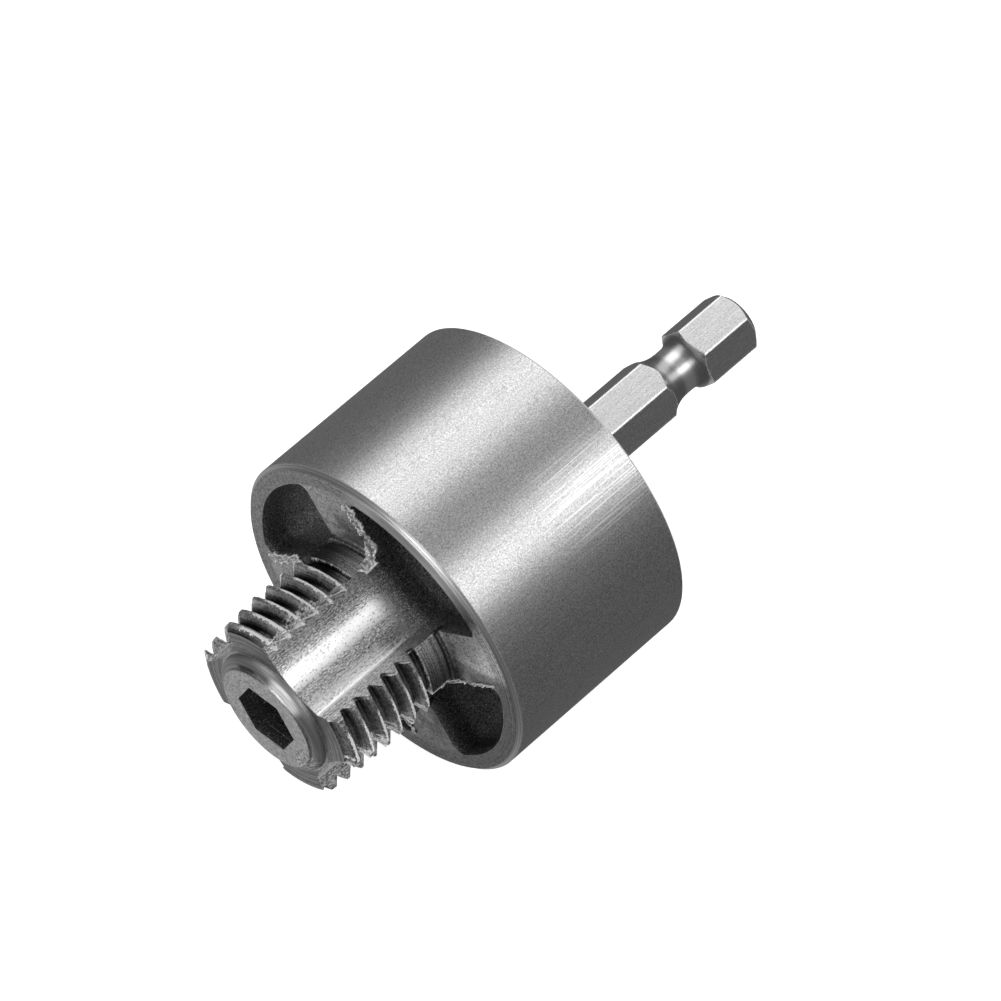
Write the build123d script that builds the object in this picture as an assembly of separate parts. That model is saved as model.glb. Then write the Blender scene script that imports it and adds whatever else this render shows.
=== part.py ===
from build123d import *
from math import asin, atan2, cos, degrees, radians, sin, tan
import os

# A pipe threading tool. Its short fluted tap cleans or cuts the thread inside a pipe fitting, and
# the drum behind it faces the fitting's end with four cutting webs. A quick-change hex shank
# drives it. Drum, webs and tap are one piece of steel, and the shank is a second one.
#
# The tool lies on its drum with its axis along X: the tap points to -X and the shank to +X.
# The origin is the centre of the shank's end face. Sizes are in millimetres, and angles about
# the axis turn from +Y towards +Z.

# Drum and facing webs
DRUM_DIAMETER = 36.4
DRUM_LENGTH = 22.7
DRUM_BACK_WALL = 3.5
RIM_WALL = 2.05
RIM_CHAMFER = 0.5
BACK_CHAMFER = 0.2
CUTTER_COUNT = 4
CUTTING_EDGE_ANGLE = 51.3
WEB_WIDTH = 6.0
POCKET_CORNER_RADIUS = 1.0

# Thread of the tap: half inch parallel pipe thread, right hand, fourteen threads to the inch
THREAD_DIAMETER = 20.955
THREAD_PITCH = 25.4 / 14
THREAD_FLANK_ANGLE = 55.0
THREAD_CREST_FLAT = 0.3
THREAD_ROOT_FLAT = 0.3
THREAD_CREST_ANGLE = -19.0
THREAD_OVERCUT = 0.1
THREAD_RUN_OUT_ANGLE = 6.0

# Lands and flutes of the tap, one in line with each web
TAP_LENGTH = 14.3
LEAD_LENGTH = 3.5
LEAD_DEPTH = 0.42
NOSE_BEVEL_LENGTH = 0.45
NOSE_BEVEL_DEPTH = 0.7
LAND_ANGLE = 36.5
RAKE_LEAN = 13.0
FLUTE_FLOOR_HEIGHT = 7.35
FLUTE_HEEL_HEIGHT = 7.8
FLUTE_FLOOR_SAG = 0.65

# Neck between the thread and the webs, with a relief groove where the thread ends
NECK_LENGTH = 3.0
NECK_STEP = 0.78
NECK_FILLET = 0.6
RELIEF_LENGTH = 0.8
RELIEF_BELOW_ROOT = 0.12

# Boss and key socket on the nose
BOSS_DIAMETER = 11.7
BOSS_HEIGHT = 1.2
BOSS_FILLET = 1.0
BOSS_FILLET_SHARE = 0.8
BOSS_CHAMFER = 0.15
KEY_ACROSS_FLATS = 6.5
KEY_DEPTH = 9.0
KEY_CORNER_ANGLE = 54.0

# Quick-change hex shank and its seat in the drum's back
SHANK_ACROSS_FLATS = 6.3
SHANK_ACROSS_CORNERS = 7.18
SHANK_LENGTH = 26.8
SHANK_CORNER_ANGLE = 66.7
SHANK_END_CHAMFER = 0.8
SHANK_END_FACE_DIAMETER = 5.4
WAIST_FROM_END = 8.9
WAIST_DIAMETER = 5.0
WAIST_FLOOR_LENGTH = 0.9
WAIST_FRONT_RISE_LENGTH = 2.9
WAIST_REAR_RISE_LENGTH = 1.6
SEAT_DEPTH = 14.0
SEAT_CLEARANCE = 0.05

# Stations along the axis, from the shank's end towards the nose
DRUM_BACK_X = -SHANK_LENGTH
POCKET_FLOOR_X = DRUM_BACK_X - DRUM_BACK_WALL
SEAT_FLOOR_X = DRUM_BACK_X - SEAT_DEPTH
CUTTING_FACE_X = DRUM_BACK_X - DRUM_LENGTH
NECK_FRONT_X = CUTTING_FACE_X - NECK_LENGTH
THREAD_BACK_X = NECK_FRONT_X - RELIEF_LENGTH
NOSE_FACE_X = CUTTING_FACE_X - TAP_LENGTH
BOSS_FACE_X = NOSE_FACE_X - BOSS_HEIGHT

# Radii and the thread's section
CUTTER_STEP = 360 / CUTTER_COUNT
DRUM_RADIUS = DRUM_DIAMETER / 2
POCKET_RADIUS = DRUM_RADIUS - RIM_WALL
THREAD_RADIUS = THREAD_DIAMETER / 2
FLANK_SLOPE = tan(radians(THREAD_FLANK_ANGLE / 2))
THREAD_DEPTH = (THREAD_PITCH - THREAD_CREST_FLAT - THREAD_ROOT_FLAT) / 2 / FLANK_SLOPE
ROOT_RADIUS = THREAD_RADIUS - THREAD_DEPTH
RELIEF_RADIUS = ROOT_RADIUS - RELIEF_BELOW_ROOT
NECK_RADIUS = THREAD_RADIUS - NECK_STEP
BOSS_RADIUS = BOSS_DIAMETER / 2


def turn_about_axis(shape, angle):
    return Rot(X=angle) * shape


def point_at(radius, angle):
    """A point in a section across the axis, its angle in radians from the section's first axis."""
    return Vector(radius * cos(angle), radius * sin(angle))


def hex_bar(across_flats, start_x, end_x, corner_angle):
    hexagon = RegularPolygon(across_flats / 2, 6, major_radius=False)
    bar = extrude(Plane.YZ.offset(start_x) * hexagon, end_x - start_x)
    return turn_about_axis(bar, corner_angle)


def turned_blank():
    """Boss, tap, neck and drum as they leave the lathe, before the thread and flutes are cut."""
    boss_fillet = min(BOSS_FILLET, BOSS_FILLET_SHARE * BOSS_HEIGHT)
    bevel_end_x = NOSE_FACE_X + NOSE_BEVEL_LENGTH
    lead_radius = THREAD_RADIUS - LEAD_DEPTH
    boss = Polyline(
        (BOSS_FACE_X, 0),
        (BOSS_FACE_X, BOSS_RADIUS - BOSS_CHAMFER),
        (BOSS_FACE_X + BOSS_CHAMFER, BOSS_RADIUS),
        (NOSE_FACE_X - boss_fillet, BOSS_RADIUS),
    )
    boss_foot = RadiusArc(boss @ 1, (NOSE_FACE_X, BOSS_RADIUS + boss_fillet), boss_fillet)
    tap = Polyline(
        boss_foot @ 1,
        (NOSE_FACE_X, lead_radius - NOSE_BEVEL_DEPTH),
        (bevel_end_x, lead_radius),
        (bevel_end_x + LEAD_LENGTH, THREAD_RADIUS),
        (THREAD_BACK_X, THREAD_RADIUS),
        (THREAD_BACK_X, RELIEF_RADIUS),
        (NECK_FRONT_X, RELIEF_RADIUS),
        (NECK_FRONT_X, NECK_RADIUS),
        (CUTTING_FACE_X - NECK_FILLET, NECK_RADIUS),
    )
    neck_foot = RadiusArc(tap @ 1, (CUTTING_FACE_X, NECK_RADIUS + NECK_FILLET), NECK_FILLET)
    drum = Polyline(
        neck_foot @ 1,
        (CUTTING_FACE_X, DRUM_RADIUS - RIM_CHAMFER),
        (CUTTING_FACE_X + RIM_CHAMFER, DRUM_RADIUS),
        (DRUM_BACK_X - BACK_CHAMFER, DRUM_RADIUS),
        (DRUM_BACK_X, DRUM_RADIUS - BACK_CHAMFER),
        (DRUM_BACK_X, 0),
        (BOSS_FACE_X, 0),
    )
    return revolve(make_face([boss, boss_foot, tap, neck_foot, drum]), Axis.X)


def flute_cutter():
    """One flute of the tap, which runs straight on into a chip pocket of the drum.

    Its section is drawn with the flute's middle along the first axis. One side is the cutting
    face of the next land and web, and the other is the back of the land and web before it. The
    hollow floor lies lower at the cutting face than at the heel of the land before.
    """
    edge_angle = radians(CUTTER_STEP - LAND_ANGLE) / 2
    crest = point_at(THREAD_RADIUS, edge_angle)
    heel = point_at(THREAD_RADIUS, -edge_angle)
    rake_angle = edge_angle + radians(RAKE_LEAN)
    rake_foot = Vector(FLUTE_FLOOR_HEIGHT, crest.Y - (crest.X - FLUTE_FLOOR_HEIGHT) * tan(rake_angle))
    heel_foot = Vector(FLUTE_HEEL_HEIGHT, heel.Y)
    floor_middle = (rake_foot + heel_foot) / 2 - Vector(FLUTE_FLOOR_SAG, 0)
    web_back_angle = edge_angle + radians(LAND_ANGLE) - asin(WEB_WIDTH / POCKET_RADIUS)
    rim_at_edge = point_at(POCKET_RADIUS, edge_angle)
    rim_at_back = point_at(POCKET_RADIUS, -web_back_angle)
    outline = [
        Polyline(rake_foot, crest, rim_at_edge),
        ThreePointArc(rim_at_edge, point_at(POCKET_RADIUS, 0), rim_at_back),
        Polyline(rim_at_back, heel, heel_foot),
        ThreePointArc(heel_foot, floor_middle, rake_foot),
    ]
    section = make_face(outline)
    rim_corners = section.vertices().sort_by_distance((0, 0, 0))[-2:]
    section = fillet(rim_corners, POCKET_CORNER_RADIUS)
    return extrude(Plane.YZ.offset(BOSS_FACE_X) * section, POCKET_FLOOR_X - BOSS_FACE_X)


def land_cut():
    """A helical cut across one land, a little longer than the land, starting at angle 0 and X = 0."""
    turns = (LAND_ANGLE + 2 * THREAD_RUN_OUT_ANGLE) / 360
    path = Helix(THREAD_PITCH, turns * THREAD_PITCH, ROOT_RADIUS, direction=(1, 0, 0))
    start = path @ 0
    half_root = THREAD_ROOT_FLAT / 2
    half_mouth = (THREAD_PITCH - THREAD_CREST_FLAT) / 2 + THREAD_OVERCUT * FLANK_SLOPE
    outline = Polyline(
        (0, -half_root),
        (THREAD_DEPTH + THREAD_OVERCUT, -half_mouth),
        (THREAD_DEPTH + THREAD_OVERCUT, half_mouth),
        (0, half_root),
        close=True,
    )
    section = Plane(origin=start, x_dir=start, z_dir=path % 0) * make_face(outline)
    cut = sweep(section, path, is_frenet=True)
    return turn_about_axis(cut, -degrees(atan2(start.Z, start.Y)))


def thread_cuts():
    """All the cuts of the thread's groove, which follow one helix from ahead of the nose.

    Each cut is one land on from the last, and that land's share of the pitch further back.
    """
    cut = land_cut()
    first_angle = CUTTING_EDGE_ANGLE - THREAD_RUN_OUT_ANGLE
    turns_past_crest = (first_angle - THREAD_CREST_ANGLE) / 360
    first_x = NOSE_FACE_X + (turns_past_crest - 1.5) * THREAD_PITCH
    last_x = THREAD_BACK_X + RELIEF_LENGTH / 2
    step_x = THREAD_PITCH / CUTTER_COUNT
    cuts = []
    for number in range(int((last_x - first_x) / step_x) + 1):
        placed = turn_about_axis(cut, first_angle + number * CUTTER_STEP)
        cuts.append(Pos(X=first_x + number * step_x) * placed)
    return cuts


def cutter_body():
    """Drum, webs and tap, made from one piece of steel."""
    body = turned_blank()
    flute = flute_cutter()
    first_middle = CUTTING_EDGE_ANGLE + (CUTTER_STEP + LAND_ANGLE) / 2
    for number in range(CUTTER_COUNT):
        body -= turn_about_axis(flute, first_middle + number * CUTTER_STEP)
    body -= hex_bar(KEY_ACROSS_FLATS, BOSS_FACE_X, BOSS_FACE_X + KEY_DEPTH, KEY_CORNER_ANGLE)
    seat_across_flats = SHANK_ACROSS_FLATS + 2 * SEAT_CLEARANCE
    body -= hex_bar(seat_across_flats, SEAT_FLOOR_X, DRUM_BACK_X, SHANK_CORNER_ANGLE)
    return body - thread_cuts()


def hex_shank():
    """A hex bar with its corners turned down, a chamfered end and a waist for a chuck's balls.

    The waist's floor is straight, and an arc rises from each end of it, the rear one steeper.
    """
    corner_radius = SHANK_ACROSS_CORNERS / 2
    floor_radius = WAIST_DIAMETER / 2
    floor_front_x = -WAIST_FROM_END - WAIST_FLOOR_LENGTH / 2
    floor_rear_x = -WAIST_FROM_END + WAIST_FLOOR_LENGTH / 2
    waist_front = (floor_front_x - WAIST_FRONT_RISE_LENGTH, corner_radius)
    waist_rear = (floor_rear_x + WAIST_REAR_RISE_LENGTH, corner_radius)
    floor = Line((floor_front_x, floor_radius), (floor_rear_x, floor_radius))
    front_rise = TangentArc(floor @ 0, waist_front, tangent=(-1, 0))
    rear_rise = TangentArc(floor @ 1, waist_rear, tangent=(1, 0))
    rest = Polyline(
        waist_rear,
        (-SHANK_END_CHAMFER, corner_radius),
        (0, SHANK_END_FACE_DIAMETER / 2),
        (0, 0),
        (SEAT_FLOOR_X, 0),
        (SEAT_FLOOR_X, corner_radius),
        waist_front,
    )
    turned = revolve(make_face([floor, front_rise, rear_rise, rest]), Axis.X)
    return turned & hex_bar(SHANK_ACROSS_FLATS, SEAT_FLOOR_X, 0, SHANK_CORNER_ANGLE)


PARTS = {"cutter_body": cutter_body, "hex_shank": hex_shank}

os.makedirs("parts", exist_ok=True)
for name, make in PARTS.items():
    piece = make()
    export_step(piece, f"parts/{name}.step")
    print(name, round(piece.volume, 1), piece.is_valid, len(piece.solids()), len(piece.faces()))
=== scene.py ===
from math import asin, cos, radians, sin, tan
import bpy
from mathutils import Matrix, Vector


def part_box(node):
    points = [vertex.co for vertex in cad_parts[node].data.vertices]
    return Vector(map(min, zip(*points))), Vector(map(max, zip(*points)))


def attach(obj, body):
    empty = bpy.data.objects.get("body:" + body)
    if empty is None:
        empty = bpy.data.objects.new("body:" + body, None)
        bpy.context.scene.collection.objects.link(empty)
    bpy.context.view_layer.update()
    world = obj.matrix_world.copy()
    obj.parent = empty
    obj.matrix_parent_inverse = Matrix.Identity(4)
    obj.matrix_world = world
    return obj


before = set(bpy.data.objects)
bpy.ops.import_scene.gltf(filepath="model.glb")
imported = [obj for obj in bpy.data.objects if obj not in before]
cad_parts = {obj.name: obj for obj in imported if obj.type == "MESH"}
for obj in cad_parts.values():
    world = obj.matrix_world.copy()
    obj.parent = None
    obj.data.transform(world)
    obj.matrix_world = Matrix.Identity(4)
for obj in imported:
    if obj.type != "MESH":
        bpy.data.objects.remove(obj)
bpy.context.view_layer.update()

from types import SimpleNamespace

import bmesh
import bpy
from mathutils import Matrix, Vector

# A pipe threading tool: a short fluted tap, a drum with four cutting webs, and a hex shank.
# Its axis lies along X, with the tap towards -X. Sizes are in metres, and angles about the
# axis turn from +Y towards +Z, as in the solid model.
MM = 0.001

# Sizes taken from the frame
BODY_LOW, BODY_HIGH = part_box("cutter_body")
SHANK_END_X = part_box("hex_shank")[1].x
BOSS_FACE_X = BODY_LOW.x
DRUM_BACK_X = BODY_HIGH.x
DRUM_RADIUS = BODY_HIGH.z
FLOOR_Z = BODY_LOW.z

# Sizes of the tap and the drum's front
DRUM_LENGTH = 22.7 * MM
RIM_CHAMFER = 0.5 * MM
POCKET_RADIUS = 16.15 * MM
TAP_LENGTH = 14.3 * MM
NECK_LENGTH = 3.0 * MM
THREAD_RADIUS = 10.4775 * MM
THREAD_PITCH = 25.4 / 14 * MM
CUTTING_FACE_X = DRUM_BACK_X - DRUM_LENGTH
NOSE_FACE_X = CUTTING_FACE_X - TAP_LENGTH
NECK_FRONT_X = CUTTING_FACE_X - NECK_LENGTH
NECK_RADIUS = 9.7 * MM
THREAD_BACK_X = NECK_FRONT_X - 0.8 * MM
RELIEF_RADIUS = 9.19 * MM
THREAD_ROOT_RADIUS = 9.311 * MM
THREAD_CREST_ANGLE = radians(-19)
CREST_FLAT = 0.3 * MM
FLANK_ANGLE = radians(55)
LEAD_LENGTH = 3.5 * MM
LEAD_DEPTH = 0.42 * MM
NOSE_BEVEL_LENGTH = 0.45 * MM
NOSE_BEVEL_HEIGHT = 0.7 * MM
NOSE_EDGE_RADIUS = THREAD_RADIUS - LEAD_DEPTH - NOSE_BEVEL_HEIGHT
SOCKET_REACH = 3.82 * MM
FILLET_START_RADIUS = 5.8 * MM
FILLET_END_RADIUS = 6.85 * MM
SHANK_FLAT_HEIGHT = 3.15 * MM
SHANK_CORNER_RADIUS = 3.59 * MM
WAIST_MIDDLE_X = SHANK_END_X - 9 * MM

# The lands' two walls: how far each wall's plane passes from the axis, and the angle that the
# plane is square to, plus a quarter turn
FLUTE_ANGLE = radians(114.55)
RAKE_FOOT_ANGLE = radians(64.3)
RAKE_OFFSET = 2.357 * MM
HEEL_OFFSET = 4.716 * MM

# The dressing of the lands
LAND_SPACING = 10.0
LAND_ROWS = 200
LAND_COLUMNS = 52
LAND_STEP = 0.07 * MM
LAND_LENGTH = (LAND_ROWS - 1) * LAND_STEP
LAND_START_X = NOSE_FACE_X + 0.01 * MM
LAND_BASE_RADIUS = 8.7 * MM

# The torn lips on the webs: name, turn about the axis in degrees, width and seed
BURR_POINTS = 140
BURR_COLUMNS = 14
WEB_BURRS = (
    ("web_burr_top", 0, 2.0 * MM, 1.3),
    ("web_burr_near", 90, 0.45 * MM, 2.6),
    ("web_burr_bottom", 180, 0.5 * MM, 4.1),
    ("web_burr_far", 270, 1.5 * MM, 5.7),
)
SMOOTH_ANGLE = radians(65)

# Grinding marks that the materials add to the flutes, in millimetres as bump height is
HOLLOW_MIDDLE = -0.55
HOLLOW_BEND = 0.022
RISE_START_X = CUTTING_FACE_X - 6.5 * MM
RISE_BEND = 0.02
CORNER_START = 2.7
CORNER_LENGTH = 0.4
CORNER_BEND = 0.35
RAKE_FOOT_HEIGHT = 7.35 * MM
RAKE_FOOT_ACROSS = 3.05 * MM

# Grain and marks
FINE_GRAIN = 0.14 * MM
MEDIUM_GRAIN = 0.45 * MM
CHEWED_Y = -5.2 * MM
CHEWED_Z = -1.9 * MM
TORN_DULLNESS = 0.8
PALE = 0.97


def rake_angle(radius):
    return RAKE_FOOT_ANGLE - asin(RAKE_OFFSET / radius)


def heel_angle(radius):
    return FLUTE_ANGLE - asin(HEEL_OFFSET / radius)


# The photograph's view
VIEW_AZIMUTH = radians(-45.95)
VIEW_ELEVATION = radians(55.34)
AIM_RIGHT_OF_RIM = 11.33 * MM
AIM_ABOVE_RIM = 11.44 * MM
CAMERA_DISTANCE = 0.6583
LENS = 248.6
SENSOR = 36.0


def view_axes():
    """The camera's right, up and back directions."""
    right = Vector((cos(VIEW_AZIMUTH), sin(VIEW_AZIMUTH), 0))
    back = Vector((
        sin(VIEW_AZIMUTH) * cos(VIEW_ELEVATION),
        -cos(VIEW_AZIMUTH) * cos(VIEW_ELEVATION),
        sin(VIEW_ELEVATION),
    ))
    return right, back.cross(right), back


def make_camera():
    right, up, back = view_axes()
    aim = Vector((CUTTING_FACE_X, 0, 0)) + AIM_RIGHT_OF_RIM * right + AIM_ABOVE_RIM * up
    data = bpy.data.cameras.new("camera")
    data.lens = LENS
    data.sensor_width = SENSOR
    data.clip_start = 0.01
    camera = bpy.data.objects.new("camera", data)
    camera.matrix_world = Matrix.Translation(aim + CAMERA_DISTANCE * back) @ Matrix(
        (right, up, back)
    ).transposed().to_4x4()
    bpy.context.scene.collection.objects.link(camera)
    bpy.context.scene.camera = camera


class Nodes:
    """Adds nodes to a tree. Inputs take a value or another node's output."""

    def __init__(self, tree):
        self.tree = tree
        tree.nodes.clear()

    def add(self, kind, settings=None, **inputs):
        node = self.tree.nodes.new(kind)
        for key, value in (settings or {}).items():
            setattr(node, key, value)
        for key, value in inputs.items():
            self.put(node.inputs[key.replace("_", " ")], value)
        return node

    def put(self, socket, value):
        if isinstance(value, bpy.types.NodeSocket):
            self.tree.links.new(value, socket)
        else:
            socket.default_value = value

    def math(self, operation, *values):
        node = self.tree.nodes.new("ShaderNodeMath")
        node.operation = operation
        for socket, value in zip(node.inputs, values):
            self.put(socket, value)
        return node.outputs[0]

    def vector_math(self, operation, *values, scale=None):
        node = self.tree.nodes.new("ShaderNodeVectorMath")
        node.operation = operation
        for socket, value in zip(node.inputs, values):
            self.put(socket, value)
        if scale is not None:
            self.put(node.inputs["Scale"], scale)
        return node.outputs["Value" if operation in ("DOT_PRODUCT", "LENGTH") else "Vector"]

    def parts(self, vector):
        """The three numbers of a vector."""
        node = self.add("ShaderNodeSeparateXYZ")
        self.put(node.inputs[0], vector)
        return node.outputs[0], node.outputs[1], node.outputs[2]

    def joined(self, x, y, z):
        node = self.add("ShaderNodeCombineXYZ")
        for socket, value in zip(node.inputs, (x, y, z)):
            self.put(socket, value)
        return node.outputs[0]

    def step(self, value, low, high):
        """0 below low, 1 above high, and a smooth change between them. low may be above high."""
        node = self.add("ShaderNodeMapRange", {"interpolation_type": "SMOOTHSTEP"}, Value=value)
        swapped = low > high
        node.inputs["From Min"].default_value = min(low, high)
        node.inputs["From Max"].default_value = max(low, high)
        node.inputs["To Min"].default_value = 1.0 if swapped else 0.0
        node.inputs["To Max"].default_value = 0.0 if swapped else 1.0
        return node.outputs[0]

    def between(self, value, low, high, soft):
        """1 from low to high, falling to 0 within soft of either."""
        return self.both(self.step(value, low - soft, low), self.step(value, high + soft, high))

    def both(self, *shares):
        """The product of shares from 0 to 1."""
        result = shares[0]
        for share in shares[1:]:
            result = self.math("MULTIPLY", result, share)
        return result

    def largest(self, *values):
        result = values[0]
        for value in values[1:]:
            result = self.math("MAXIMUM", result, value)
        return result

    def without(self, share):
        return self.math("SUBTRACT", 1.0, share)

    def more(self, value, share, amount):
        """value, with amount times share added."""
        return self.math("MULTIPLY_ADD", share, amount, value)

    def changed(self, value, share, amount):
        """value, larger by amount of itself where share is 1. amount may be below 0."""
        return self.math("MULTIPLY", value, self.math("MULTIPLY_ADD", share, amount, 1.0))

    def scaled(self, vector, x, y, z):
        return self.vector_math("MULTIPLY", vector, (x, y, z))

    def noise(self, vector, detail=2.0):
        return self.add(
            "ShaderNodeTexNoise", Vector=vector, Scale=1.0, Detail=detail, Roughness=0.5
        ).outputs[0]

    def blend(self, share, low, high):
        """low where share is 0 and high where it is 1."""
        node = self.add("ShaderNodeMix")
        self.put(node.inputs[0], share)
        self.put(node.inputs[2], low)
        self.put(node.inputs[3], high)
        return node.outputs[0]


def grain(nodes, place, size, detail=2.0):
    """Even noise with cells of about that size, from 0 to 1."""
    return nodes.noise(nodes.scaled(place, 1 / size, 1 / size, 1 / size), detail)


def drawn_along_axis(nodes, place, length, width):
    """Streaks along the tool's axis."""
    return nodes.noise(nodes.scaled(place, 1 / length, 1 / width, 1 / width))


def turned_rings(nodes, at, width):
    """Fine rings about the axis, as a lathe tool leaves them on a face or a side."""
    spread = nodes.joined(
        nodes.math("MULTIPLY", at.radius, 1 / width), nodes.math("MULTIPLY", at.along, 1 / width), 0.0
    )
    return nodes.noise(spread, detail=1.0)


def lie_of(nodes, place):
    """Where a point lies on the tool: along the axis, from it, and its angle about it."""
    along, y, z = nodes.parts(place)
    radius = nodes.vector_math("LENGTH", nodes.joined(0.0, y, z))
    angle = nodes.math("ARCTAN2", z, y)
    return SimpleNamespace(along=along, y=y, z=z, radius=radius, angle=angle)


def metal(name, build, edge_radius=0.0):
    """A metal whose shade, roughness, height in millimetres and torn share come from
    build(nodes, place, edge). Torn metal is pale from all sides. Sharp edges look rounded to
    edge_radius, and edge is 1 on them and 0 on flat ground."""
    made = bpy.data.materials.new(name)
    made.use_nodes = True
    nodes = Nodes(made.node_tree)
    place = nodes.add("ShaderNodeTexCoord").outputs["Object"]
    edge = 0.0
    if edge_radius:
        rounded = nodes.add("ShaderNodeBevel", {"samples": 4}, Radius=edge_radius).outputs[0]
        flat = nodes.add("ShaderNodeNewGeometry").outputs["Normal"]
        edge = nodes.step(nodes.vector_math("DOT_PRODUCT", rounded, flat), 0.985, 0.85)
    shade, roughness, height, torn = build(nodes, place, edge)
    colour = nodes.add("ShaderNodeCombineColor")
    for channel, tint in zip(colour.inputs, (1.0, 0.995, 1.0)):
        nodes.put(channel, nodes.math("MULTIPLY", shade, tint))
    bump = nodes.add("ShaderNodeBump", Height=height, Distance=MM, Strength=1.0)
    if edge_radius:
        nodes.put(bump.inputs["Normal"], rounded)
    shader = nodes.add("ShaderNodeBsdfPrincipled", Base_Color=colour.outputs[0], Roughness=roughness)
    nodes.put(shader.inputs["Metallic"], nodes.math("MULTIPLY_ADD", torn, -TORN_DULLNESS, 1.0))
    nodes.put(shader.inputs["Normal"], bump.outputs[0])
    output = nodes.add("ShaderNodeOutputMaterial")
    nodes.put(output.inputs[0], shader.outputs[0])
    return made


def body_patterns(nodes, place):
    """Where a point of the body lies, and the patterns that its finishes share."""
    at = lie_of(nodes, place)
    at.place = place
    # The place as the nearest flute sees it: height above the axis, and distance across, less
    # than 0 on its lower side
    from_flute = nodes.math("SUBTRACT", at.angle, FLUTE_ANGLE)
    turned = nodes.math("WRAP", from_flute, radians(45), radians(-45))
    at.height = nodes.math("MULTIPLY", at.radius, nodes.math("COSINE", turned))
    at.across = nodes.math("MULTIPLY", at.radius, nodes.math("SINE", turned))
    at.fine = grain(nodes, place, FINE_GRAIN, detail=1.0)
    at.sharp_fine = nodes.step(at.fine, 0.3, 0.7)
    at.specks = nodes.step(at.fine, 0.55, 0.7)
    at.medium = grain(nodes, place, MEDIUM_GRAIN)
    at.sharp_medium = nodes.step(at.medium, 0.3, 0.7)
    at.patchy = grain(nodes, place, 2.2 * MM, detail=3.0)
    at.crumbs = grain(nodes, place, 0.3 * MM)
    at.streaks = drawn_along_axis(nodes, place, 5 * MM, 0.11 * MM)
    dashes = drawn_along_axis(nodes, place, 0.32 * MM, 0.08 * MM)
    at.dashes = nodes.step(dashes, 0.47, 0.57)
    flecks = drawn_along_axis(nodes, place, 0.2 * MM, 0.12 * MM)
    at.pits = nodes.both(nodes.step(flecks, 0.4, 0.34), nodes.step(at.patchy, 0.25, 0.55))
    at.rings = turned_rings(nodes, at, 0.16 * MM)
    at.ring_marks = nodes.math("MULTIPLY_ADD", nodes.step(at.rings, 0.35, 0.65), 0.9, -0.4)
    at.wide_rings = nodes.step(turned_rings(nodes, at, 0.28 * MM), 0.35, 0.65)
    at.back_rings = nodes.step(turned_rings(nodes, at, 0.22 * MM), 0.35, 0.65)
    return at


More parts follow.
